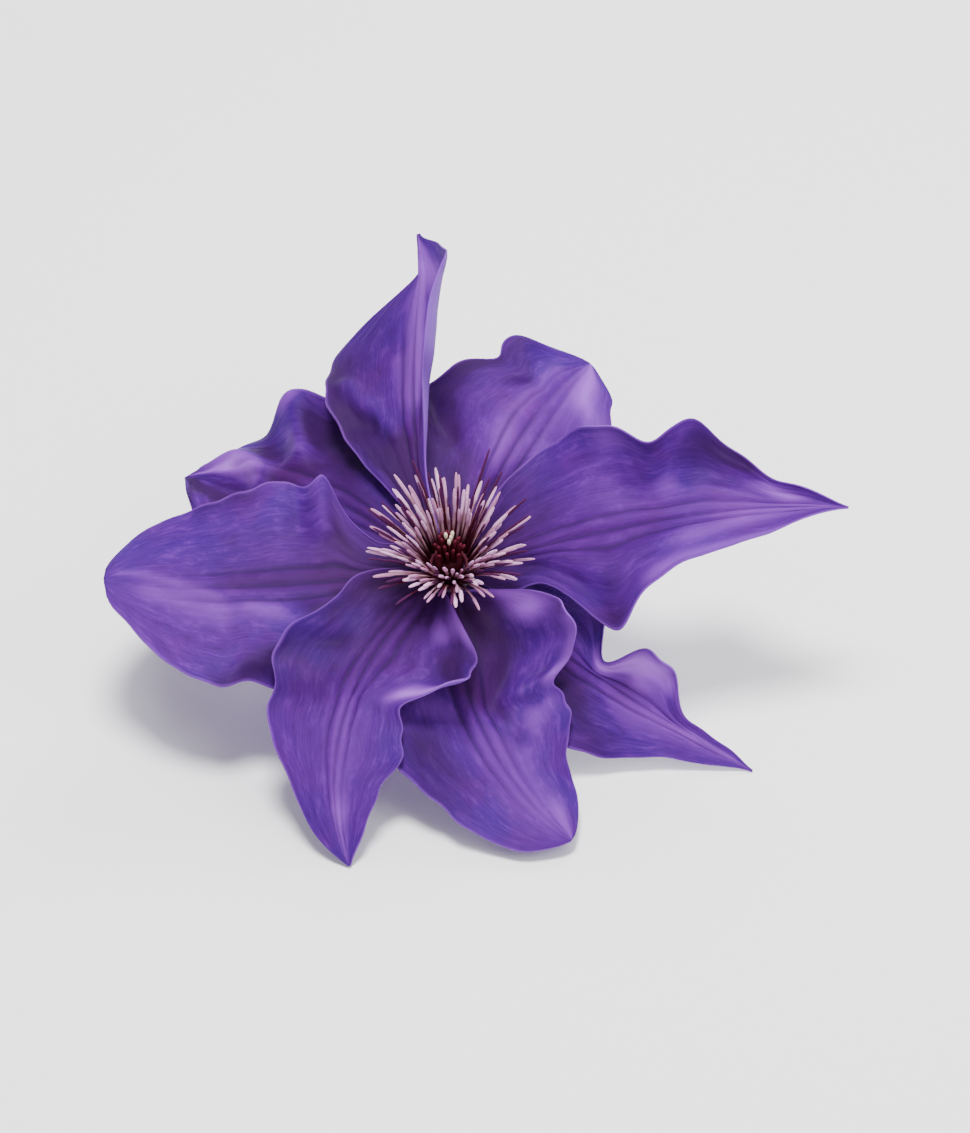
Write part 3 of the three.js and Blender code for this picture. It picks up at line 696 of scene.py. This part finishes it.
stamens = {
    "count": 104,
    "extra": 80,                # these stand in the scene alone
    "extraSpread": 0.85,
    "seed": 7,
    "length": 11,
    "outerGain": 8,             # how much longer the outer ones are
    "lengthVariation": 2.4,
    "lean": 20,
    "outerLean": 36,
    "leanVariation": 7,
    "arch": (0.7, 0.45),        # the lean at the root and its gain to the tip, as shares
    "azimuthVariation": 0.12,
    "ringInner": 3.6,
    "ringOuter": 5.3,
    "ringHeight": 2.2,
    "ringTopWidth": 0.7,
    "ringMargin": 0.5,
    "ringSides": 40,
    "bottom": 4.0,              # above the heart
    "sides": 8,
    "breadth": 0.95,            # a share of the pattern's
    "breadthVariation": 0.15,
    "sway": 0.35,
    "curl": 0.5,
    "turn": 0.5,                # in radians
    "filamentWidth": 0.7,
    "filamentThickness": 0.4,
    "antherWidth": 0.9,
    "antherThickness": 0.65,
    "antherStart": 0.67,
    "darkEvery": 4,
    "extraDarkEvery": 3,
    "darkStretch": 1.2,
    "darkBreadth": 0.75,
}


def stamenTemplate():
    # one straight stamen of unit length, drawn out ring by ring from its foot
    deselectAll()
    bpy.ops.mesh.primitive_circle_add(vertices=stamens["sides"], radius=0.5, fill_type="NGON")
    stamen = bpy.context.object
    stamen.name = "stamenPattern"
    start = stamens["antherStart"]
    filament = (stamens["filamentWidth"], stamens["filamentThickness"])
    anther = (stamens["antherWidth"], stamens["antherThickness"])
    stations = [(0.0, filament, 1.15), (0.12, filament, 1.0), (0.25, filament, 0.95),
                (0.4, filament, 0.92), (0.55, filament, 0.85), (start, filament, 0.8),
                (start + 0.03, anther, 0.82), (start + 0.07, anther, 1.0), (0.82, anther, 1.0),
                (0.89, anther, 0.95), (0.94, anther, 0.85), (0.98, anther, 0.62), (1.0, anther, 0.25)]
    bpy.ops.object.mode_set(mode="EDIT")
    width, thickness = [size * stations[0][2] for size in stations[0][1]]
    bpy.ops.transform.resize(value=(width, thickness, 1))
    height = 0.0
    for place, sizes, share in stations[1:]:
        bpy.ops.mesh.extrude_region_move(TRANSFORM_OT_translate={"value": (0, 0, place - height)})
        newWidth, newThickness = [size * share for size in sizes]
        bpy.ops.transform.resize(value=(newWidth / width, newThickness / thickness, 1))
        width, thickness, height = newWidth, newThickness, place
    bpy.ops.mesh.select_all(action="SELECT")
    bpy.ops.mesh.normals_make_consistent(inside=False)
    bpy.ops.object.mode_set(mode="OBJECT")
    return stamen


def isDark(number):
    # some stamens are longer, thinner and dusky, and more of those of the scene alone
    every = stamens["darkEvery"] if number < stamens["count"] else stamens["extraDarkEvery"]
    return number % every == 0


def stamenBend(points, number, draws):
    # the template's points, stood in their place in the spiral and arched outwards. The sines
    # of its number give each stamen a breadth, a sway, a curl and a turn of its own.
    inner, outer, margin = stamens["ringInner"], stamens["ringOuter"], stamens["ringMargin"]
    spread = number / (stamens["count"] - 1)
    if number >= stamens["count"]:
        spread = stamens["extraSpread"] * (number - stamens["count"]) / stamens["extra"]
    azimuth = math.radians(number * bloom["spiralAngle"])
    azimuth += (next(draws) - 0.5) * stamens["azimuthVariation"]
    leanOver = stamens["lean"] + stamens["outerLean"] * spread
    lean = math.radians(leanOver + (next(draws) - 0.5) * stamens["leanVariation"])
    length = stamens["length"] + stamens["outerGain"] * spread
    length += (next(draws) - 0.5) * stamens["lengthVariation"]
    breadth = stamens["breadth"] + stamens["breadthVariation"] * math.sin(number * 4.3)
    if isDark(number):
        length *= stamens["darkStretch"]
        breadth *= stamens["darkBreadth"]
    out = np.array([math.cos(azimuth), math.sin(azimuth), 0.0])
    side = np.array([out[1], -out[0], 0.0])
    up = np.array([0.0, 0.0, 1.0])
    rootRadius = inner + margin + (outer - inner - 2 * margin) * spread
    rootShare = 0.75 - 0.4 * spread
    root = out * rootRadius + up * (stamens["bottom"] + stamens["ringHeight"] * rootShare)
    place = points[:, 2]
    steps = 80
    fine = np.linspace(0, 1, steps + 1)
    leanShare, archShare = stamens["arch"]
    slopes = lean * (leanShare + archShare * (fine[1:] + fine[:-1]) / 2)
    reach = np.concatenate([[0], np.cumsum(np.sin(slopes))]) * length / steps
    rise = np.concatenate([[0], np.cumsum(np.cos(slopes))]) * length / steps
    slope = lean * (leanShare + archShare * place)
    outwards = np.interp(place, fine, reach)[:, None] * out
    upwards = np.interp(place, fine, rise)[:, None] * up
    centre = root + outwards + upwards
    deep = np.cos(slope)[:, None] * out - np.sin(slope)[:, None] * up
    sway = stamens["sway"] * math.sin(number * 2.4) * np.sin(np.pi * place)
    curl = stamens["curl"] * math.sin(number * 5.1) * place ** 2
    turn = stamens["turn"] * math.sin(number * 3.7) * place
    x = breadth * (points[:, 0] * np.cos(turn) - points[:, 1] * np.sin(turn))
    y = breadth * (points[:, 0] * np.sin(turn) + points[:, 1] * np.cos(turn))
    return centre + (x + sway + curl)[:, None] * side + y[:, None] * deep


def joinPieces(name, parts):
    deselectAll()
    for part in parts:
        part.select_set(True)
    bpy.context.view_layer.objects.active = parts[0]
    bpy.ops.object.join()
    whole = bpy.context.object
    whole.name = name
    whole.data.name = name
    return whole


def turnedRing(name, profile, segments):
    # a closed outline of (radius, height) pairs spun round the bloom's axis
    deselectAll()
    bpy.ops.mesh.primitive_circle_add(vertices=len(profile), radius=1, fill_type="NOTHING")
    ring = bpy.context.object
    ring.name = name
    writePoints(ring, [(radius, 0, height) for radius, height in profile])
    bpy.ops.object.mode_set(mode="EDIT")
    bpy.ops.mesh.select_all(action="SELECT")
    bpy.ops.mesh.spin(steps=segments, dupli=False, angle=2 * math.pi, center=(0, 0, 0), axis=(0, 0, 1))
    bpy.ops.mesh.select_all(action="SELECT")
    bpy.ops.mesh.remove_doubles(threshold=0.0001)
    bpy.ops.mesh.normals_make_consistent(inside=False)
    bpy.ops.object.mode_set(mode="OBJECT")
    return ring


def bossOfStamens():
    template = stamenTemplate()
    pattern = readPoints(template)
    draws = seededRandom(stamens["seed"])
    parts = []
    for number in range(stamens["count"] + stamens["extra"]):
        makeActive(template)
        bpy.ops.object.duplicate()
        part = bpy.context.object
        addNumbers(part, "alongStamen", pattern[:, 2])
        # dusky, or a shade of its own from pink to pale
        tone = 0.0 if isDark(number) else 0.65 + 0.35 * math.sin(number * 12.9898)
        addNumbers(part, "stamenTone", [tone] * len(pattern))
        writePoints(part, fromBloom(stamenBend(pattern, number, draws)))
        parts.append(part)
    bottom = stamens["bottom"]
    inner, outer, height = stamens["ringInner"], stamens["ringOuter"], stamens["ringHeight"]
    profile = [(inner, bottom), (outer, bottom), (outer, bottom + height * 0.5),
               (inner + stamens["ringTopWidth"], bottom + height), (inner, bottom + height)]
    ring = turnedRing("stamenRing", profile, stamens["ringSides"])
    writePoints(ring, fromBloom(readPoints(ring)))
    addNumbers(ring, "alongStamen", [0.0] * len(ring.data.vertices))
    addNumbers(ring, "stamenTone", [0.3] * len(ring.data.vertices))
    bpy.data.objects.remove(template)
    boss = joinPieces("stamenBoss", parts + [ring])
    bpy.ops.object.shade_smooth()
    return boss


stamenColours = {
    "root": (0.050, 0.004, 0.014),
    "filament": (0.420, 0.210, 0.290),
    "dusky": (0.050, 0.005, 0.045),
    "pale": (0.700, 0.400, 0.660),
    "pink": (0.400, 0.170, 0.330),
}


def stamenFinish():
    finish = Finish("stamenFinish")
    place = finish.attribute("alongStamen")
    tone = finish.attribute("stamenTone")
    grain = finish.noise(finish.place(), 2600.0, 3.0)
    colours = stamenColours
    # the shaft is dark at its foot: painted shade deep among the stamens
    shaft = finish.mix(place.smooth(0.22, 0.6), colours["root"], colours["filament"])
    shaft = finish.mix(tone.smooth(0.0, 0.2), colours["root"], shaft)
    anther = finish.mix(grain.smooth(0.4, 0.75) * 0.35, colours["pale"], colours["pink"])
    anther = finish.mix(place.smooth(0.88, 1.0) * 0.5, anther, colours["pink"])
    anther = finish.mix(tone.smooth(0.3, 0.9), colours["pink"], anther)
    anther = finish.mix(tone.smooth(0.0, 0.2), colours["dusky"], anther)
    colour = finish.mix(place.smooth(0.66, 0.76), shaft, anther)
    finish.set(Base_Color=colour, Roughness=0.5 + 0.2 * grain, Subsurface_Weight=0.1,
               Subsurface_Scale=0.001, Specular_IOR_Level=0.12)
    finish.bump(grain, 0.00008, 0.7)
    return finish.material


# Pistils: a low cone with a tuft of slender styles that spread at their cream tips

pistils = {
    "styles": 22,
    "creamTips": 4,
    "seed": 3,
    "height": 14.5,
    "outerDrop": 5,
    "heightVariation": 1.2,
    "flare": 1.3,
    "styleRadius": 0.45,
    "styleSides": 8,
    "coreRadius": 3.2,
    "coreHeight": 5.5,
    "coreTaper": 0.85,          # its radius at the top, as a share
    "coreSides": 32,
    "bottom": 4.0,              # above the heart
}


def styleTemplate():
    deselectAll()
    sides, radius = pistils["styleSides"], pistils["styleRadius"]
    bpy.ops.mesh.primitive_circle_add(vertices=sides, radius=radius, fill_type="NGON")
    style = bpy.context.object
    style.name = "stylePattern"
    bpy.ops.object.mode_set(mode="EDIT")
    size = 1.0
    height = 0.0
    # each a place along the style and its share of the radius
    stations = [(0.15, 1.0), (0.3, 0.95), (0.45, 0.88), (0.6, 0.82), (0.72, 0.8), (0.82, 0.85),
                (0.9, 0.95), (0.96, 0.85), (1.0, 0.35)]
    for place, share in stations:
        bpy.ops.mesh.extrude_region_move(TRANSFORM_OT_translate={"value": (0, 0, place - height)})
        bpy.ops.transform.resize(value=(share / size, share / size, 1))
        size, height = share, place
    bpy.ops.mesh.select_all(action="SELECT")
    bpy.ops.mesh.normals_make_consistent(inside=False)
    bpy.ops.object.mode_set(mode="OBJECT")
    return style


def tuftOfPistils():
    template = styleTemplate()
    pattern = readPoints(template)
    draws = seededRandom(pistils["seed"])
    parts = []
    bottom = pistils["bottom"]
    for number in range(pistils["styles"]):
        spread = math.sqrt((number + 0.5) / pistils["styles"])
        azimuth = math.radians(number * bloom["spiralAngle"])
        out = np.array([math.cos(azimuth), math.sin(azimuth), 0.0])
        side = np.array([-out[1], out[0], 0.0])
        rootRadius = (pistils["coreRadius"] * pistils["coreTaper"] - 0.5) * spread
        root = bottom + pistils["coreHeight"] * 0.5
        tip = bottom + pistils["height"] - pistils["outerDrop"] * spread ** 2
        tip += (next(draws) - 0.5) * pistils["heightVariation"]
        place = pattern[:, 2]
        bend = pistils["flare"] * spread * np.interp(place, [0, 0.55, 0.85, 1], [0, 0.15, 0.6, 1])
        centre = (rootRadius + bend)[:, None] * out
        centre[:, 2] = root + (tip - root) * place
        makeActive(template)
        bpy.ops.object.duplicate()
        part = bpy.context.object
        addNumbers(part, "alongStyle", place)
        addNumbers(part, "creamTip", [1.0 if number < pistils["creamTips"] else 0.0] * len(pattern))
        writePoints(part, fromBloom(centre + pattern[:, :1] * out + pattern[:, 1:2] * side))
        parts.append(part)
    radius, height = pistils["coreRadius"], pistils["coreHeight"]
    profile = [(0, bottom), (radius, bottom), (radius, bottom + height * 0.45),
               (radius * pistils["coreTaper"], bottom + height), (0, bottom + height)]
    core = turnedRing("pistilCore", profile, pistils["coreSides"])
    writePoints(core, fromBloom(readPoints(core)))
    addNumbers(core, "alongStyle", [0.0] * len(core.data.vertices))
    addNumbers(core, "creamTip", [0.0] * len(core.data.vertices))
    bpy.data.objects.remove(template)
    tuft = joinPieces("pistilTuft", parts + [core])
    bpy.ops.object.shade_smooth()
    return tuft


pistilColours = {
    "root": (0.045, 0.003, 0.009),
    "maroon": (0.090, 0.008, 0.020),
    "cream": (0.760, 0.640, 0.500),
}


def pistilFinish():
    finish = Finish("pistilFinish")
    place = finish.attribute("alongStyle")
    grain = finish.noise(finish.place(), 1800.0, 3.0)
    colour = finish.mix(place.smooth(0.3, 0.9), pistilColours["root"], pistilColours["maroon"])
    cream = place.smooth(0.78, 0.93) * finish.attribute("creamTip")
    colour = finish.mix(cream, colour, pistilColours["cream"])
    finish.set(Base_Color=colour, Roughness=0.5 + 0.2 * grain, Specular_IOR_Level=0.12)
    finish.bump(grain, 0.0001, 0.6)
    return finish.material


# Peduncle: the receptacle under the bloom and its stalk in one skin, down the bloom's axis,
# round onto the surface and along it to a slanting cut

peduncle = {
    "stalkRadius": 1.35,
    "onSurface": 82,
    "drift": 15,
    "rest": 1.38,               # the height of its middle line where it lies
    "bendStart": 6,             # how far below the heart it begins to bend
    "coreRadius": 4.2,
    "coreTop": 3.7,
    "collarRadius": 5.3,
    "ribs": 6,
    "ribSize": 0.05,            # a share of the radius
    "cutLength": 3,
    "cutSlant": 0.9,
    "linePoints": (24, 40, 60),  # down the bloom's axis, round the bend and along the surface
    "sides": 32,
    "rows": 260,
    "crowding": 1.5,            # rows crowd where the receptacle swells
    "sharpEdge": 50,
}


def stalkLine():
    # middle points from the core's top to the cut
    onAxis, inBend, onSurface = peduncle["linePoints"]
    lean = math.radians(bloom["lean"])
    heart = np.array(bloom["heart"])
    start = heart + peduncle["bendStart"] * np.array([0, math.sin(lean), -math.cos(lean)])
    downward = math.pi / 2 - lean
    bend = (start[2] - peduncle["rest"]) / (1 - math.cos(downward))
    points = [heart + offset * np.array([0, -math.sin(lean), math.cos(lean)])
              for offset in np.linspace(peduncle["coreTop"], 0.2 - peduncle["bendStart"], onAxis)]
    for angle in np.linspace(downward, 0, inBend):
        points.append(start + np.array([0, bend * (math.sin(downward) - math.sin(angle)),
                                        -bend * (math.cos(angle) - math.cos(downward))]))
    landing = points[-1]
    for share in np.linspace(0, 1, onSurface)[1:]:
        step = [-peduncle["drift"] * share ** 2, peduncle["onSurface"] * share, 0]
        points.append(landing + np.array(step))
    return np.array(points)


def rowedTube(name, sides, rows):
    # an upright cylinder, 1 high and 1 in radius, cut into rows
    deselectAll()
    bpy.ops.mesh.primitive_cylinder_add(vertices=sides, radius=1, depth=1, end_fill_type="NGON")
    tube = bpy.context.object
    tube.name = name
    bpy.ops.object.mode_set(mode="EDIT")
    bpy.ops.mesh.select_mode(type="EDGE")
    bpy.ops.mesh.select_all(action="DESELECT")
    bpy.ops.object.mode_set(mode="OBJECT")
    for edge in tube.data.edges:
        low, high = [tube.data.vertices[index].co for index in edge.vertices]
        edge.select = abs(low.z - high.z) > 0.5
    bpy.ops.object.mode_set(mode="EDIT")
    bpy.ops.mesh.subdivide_edgering(number_cuts=rows - 1, interpolation="LINEAR", smoothness=0)
    bpy.ops.object.mode_set(mode="OBJECT")
    return tube


def peduncleSkin():
    line = stalkLine()
    gaps = np.linalg.norm(np.diff(line, axis=0), axis=1)
    travelled = np.concatenate([[0], np.cumsum(gaps)])
    whole = travelled[-1]
    skin = rowedTube("peduncleSkin", peduncle["sides"], peduncle["rows"])
    flat = readPoints(skin)
    share = 0.5 - flat[:, 2]
    angle = np.arctan2(flat[:, 1], flat[:, 0])
    distance = whole * share ** peduncle["crowding"]

    def pointsAt(places):
        return np.stack([np.interp(places, travelled, line[:, axis]) for axis in range(3)], -1)

    nearby = 0.4
    middle = pointsAt(distance)
    tangent = pointsAt(distance + nearby) - pointsAt(distance - nearby)
    tangent /= np.linalg.norm(tangent, axis=1)[:, None]
    side = np.cross(tangent, [0.0, 0.0, 1.0])
    side = np.where(np.abs(tangent[:, 2:]) > 0.999, [1.0, 0.0, 0.0], side)
    side /= np.linalg.norm(side, axis=1)[:, None]
    up = np.cross(side, tangent)
    stalk = peduncle["stalkRadius"]
    core = peduncle["coreRadius"]
    below = distance - peduncle["coreTop"]
    collar = peduncle["collarRadius"]
    # each how far below the heart, and the radius there
    stations = [(-3.7, 0.02), (-3.65, core - 0.5), (-3.2, core), (0.4, core), (0.8, collar),
                (1.6, collar), (2.6, 3.1), (4.0, 2.1), (5.5, stalk * 1.2), (8.5, stalk * 1.02),
                (40, stalk * 0.96), (200, stalk)]
    places, radii = zip(*stations)
    ribs = 1 + peduncle["ribSize"] * np.cos(peduncle["ribs"] * angle) * np.clip((below - 2) / 4, 0, 1)
    # where it lies, no rib reaches below the surface
    most = np.where(below > 12, peduncle["rest"], 9.0)
    radius = np.minimum(np.interp(below, places, radii) * ribs, most)
    points = middle + radius[:, None] * (np.cos(angle)[:, None] * side + np.sin(angle)[:, None] * up)
    # the cut slants across the stalk's end
    cutLength = peduncle["cutLength"]
    nearEnd = np.clip((distance - whole + cutLength) / cutLength, 0, 1)
    points -= tangent * (nearEnd * (np.cos(angle) + 1) * peduncle["cutSlant"])[:, None]
    writePoints(skin, points * mm)
    addNumbers(skin, "alongStalk", distance)
    addNumbers(skin, "roundStalk", angle)
    makeActive(skin)
    bpy.ops.object.mode_set(mode="EDIT")
    bpy.ops.mesh.select_all(action="SELECT")
    bpy.ops.mesh.normals_make_consistent(inside=False)
    bpy.ops.object.mode_set(mode="OBJECT")
    bpy.ops.object.shade_smooth_by_angle(angle=math.radians(peduncle["sharpEdge"]))
    return skin


stalkColours = {
    "green": (0.150, 0.190, 0.050),
    "fibre": (0.250, 0.290, 0.100),
    "flush": (0.150, 0.060, 0.070),
    "rib": (0.300, 0.320, 0.150),
    "underBloom": (0.300, 0.330, 0.170),
    "core": (0.060, 0.012, 0.080),
}


def stalkFinish():
    finish = Finish("stalkFinish")
    colours = stalkColours
    distance = finish.attribute("alongStalk")
    angle = finish.attribute("roundStalk")
    place = finish.place()
    grain = finish.noise(place, 900.0, 4.0)
    fibres = finish.noise(finish.vector(angle * 6.0, distance * 0.12, 0.0), 1.0, 3.0)
    blush = finish.noise(place, 60.0, 2.0).smooth(0.35, 0.7)
    ribs = finish.node("ShaderNodeMath", {"operation": "COSINE"}, [angle * peduncle["ribs"]])
    colour = finish.layered(colours["green"], colours, [
        (fibres.smooth(0.35, 0.7), "fibre"),
        (blush * 0.6, "flush"),
        (ribs.smooth(0.2, 1.0) * 0.3, "rib"),
        ((1.0 - distance.smooth(8.0, 18.0)) * 0.5, "underBloom"),
        # dark violet on the core: painted shade under the stamens
        (1.0 - distance.smooth(3.6, 4.6), "core"),
    ])
    finish.set(Base_Color=colour, Roughness=0.5 + 0.15 * grain, Sheen_Weight=0.25, Sheen_Roughness=0.4,
               Subsurface_Weight=0.05, Subsurface_Scale=0.002)
    finish.bump(grain * 0.5 + fibres * 0.6, 0.0001, 0.8)
    return finish.material


def claim(piece, slot, *nodes):
    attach(piece, "root")
    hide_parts(*nodes)


for order, (name, shape) in enumerate(tepals.items()):
    blade = tepalBlade(name + "Tepal", shape, order * 3.7 + 1)
    blade.data.materials.append(tepalFinish(name + "TepalFinish", order + 1))
    claim(blade, "tepal", shape["node"])
print("tepals done")

boss = bossOfStamens()
boss.data.materials.append(stamenFinish())
claim(boss, "stamen", "stamens")
print("stamens done")

tuft = tuftOfPistils()
tuft.data.materials.append(pistilFinish())
claim(tuft, "pistil", "pistils")
print("pistils done")

skin = peduncleSkin()
skin.data.materials.append(stalkFinish())
claim(skin, "stalk", "peduncle")
print("peduncle done")


# Floor, light and camera, in metres

studio = {
    "floorSize": 6.0,
    "floorColour": (0.93, 0.93, 0.94),
    "target": (0.002, -0.028, 0.034),
    "azimuth": 0,
    "elevation": 40,
    "lens": 200,
    "distance": 1.38,
    # each light's name, place, breadth and power
    "lights": [
        ("keyLight", (-0.05, -0.1, 0.98), 0.3, 17),
        ("fillLight", (0.6, -0.5, 0.7), 0.7, 5),
        ("backLight", (0.3, 0.7, 0.7), 0.5, 8),
    ],
    "airLight": 0.6,
}


def paleFloor():
    deselectAll()
    bpy.ops.mesh.primitive_plane_add(size=studio["floorSize"], location=(0, 0, 0))
    floor = bpy.context.object
    floor.name = "floor"
    finish = Finish("floorFinish")
    finish.set(Base_Color=studio["floorColour"], Roughness=0.7, Specular_IOR_Level=0.2)
    floor.data.materials.append(finish.material)


def softLight(name, place, size, power):
    bpy.ops.object.light_add(type="AREA", location=place)
    light = bpy.context.object
    light.name = name
    light.data.shape = "DISK"
    light.data.size = size
    light.data.energy = power
    aim = Vector(studio["target"]) - Vector(place)
    light.rotation_euler = aim.to_track_quat("-Z", "Y").to_euler()


def lookAtBloom():
    azimuth = math.radians(studio["azimuth"])
    elevation = math.radians(studio["elevation"])
    target = Vector(studio["target"])
    level = math.cos(elevation)
    back = Vector((-math.sin(azimuth) * level, -math.cos(azimuth) * level, math.sin(elevation)))
    bpy.ops.object.camera_add(location=target + back * studio["distance"])
    camera = bpy.context.object
    camera.rotation_euler = (-back).to_track_quat("-Z", "Y").to_euler()
    camera.data.lens = studio["lens"]
    camera.data.clip_start = 0.01
    bpy.context.scene.camera = camera


paleFloor()
for light in studio["lights"]:
    softLight(*light)
world = bpy.data.worlds.new("studioAir")
world.use_nodes = True
air = world.node_tree.nodes["Background"]
air.inputs["Color"].default_value = (1, 1, 1, 1)
air.inputs["Strength"].default_value = studio["airLight"]
bpy.context.scene.world = world
lookAtBloom()
print("studio done")
